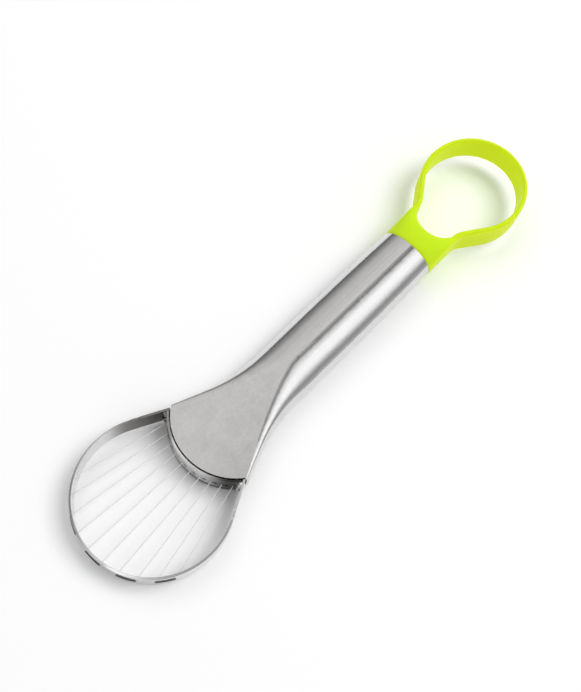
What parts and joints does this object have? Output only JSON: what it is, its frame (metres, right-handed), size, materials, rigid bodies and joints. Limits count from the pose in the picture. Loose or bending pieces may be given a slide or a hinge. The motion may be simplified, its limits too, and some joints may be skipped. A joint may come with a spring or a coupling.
{
  "type": "avocado slicer",
  "caption": "Avocado slicer: a hollow steel handle with a wire-strung cutting loop at one end and a moulded ring for lifting out the stone at the other.",
  "frame": {"origin": "on the tool's centre line, under the middle of its length, at the level of its lowest point", "axes": "+X along the handle from the cutting loop towards the moulded ring, +Y across the tool, +Z square to the flat plate at the mouth, upwards"},
  "size_m": [0.2524, 0.0618, 0.017],
  "materials": {
    "handle_steel": "satin, brushed along the handle",
    "blade_steel": "ground edge, otherwise bright",
    "wire_steel": "bright drawn wire",
    "ring_plastic": "satin, lime green"
  },
  "bodies": {
    "root": {"handle_upper_shell": "handle_steel", "handle_lower_shell": "handle_steel", "cutting_loop": "blade_steel", "wire_anchor_strip": "blade_steel", "strip_weld_beads": "blade_steel", "wire_pair_1": "wire_steel", "wire_pair_2": "wire_steel", "wire_pair_3": "wire_steel", "wire_pair_4": "wire_steel", "wire_pair_5": "wire_steel", "wire_ferrule_01": "wire_steel", "wire_ferrule_02": "wire_steel", "wire_ferrule_03": "wire_steel", "wire_ferrule_04": "wire_steel", "wire_ferrule_05": "wire_steel", "wire_ferrule_06": "wire_steel", "wire_ferrule_07": "wire_steel", "wire_ferrule_08": "wire_steel", "wire_ferrule_09": "wire_steel", "wire_ferrule_10": "wire_steel", "stone_ring": "ring_plastic"}
  },
  "joints": []
}
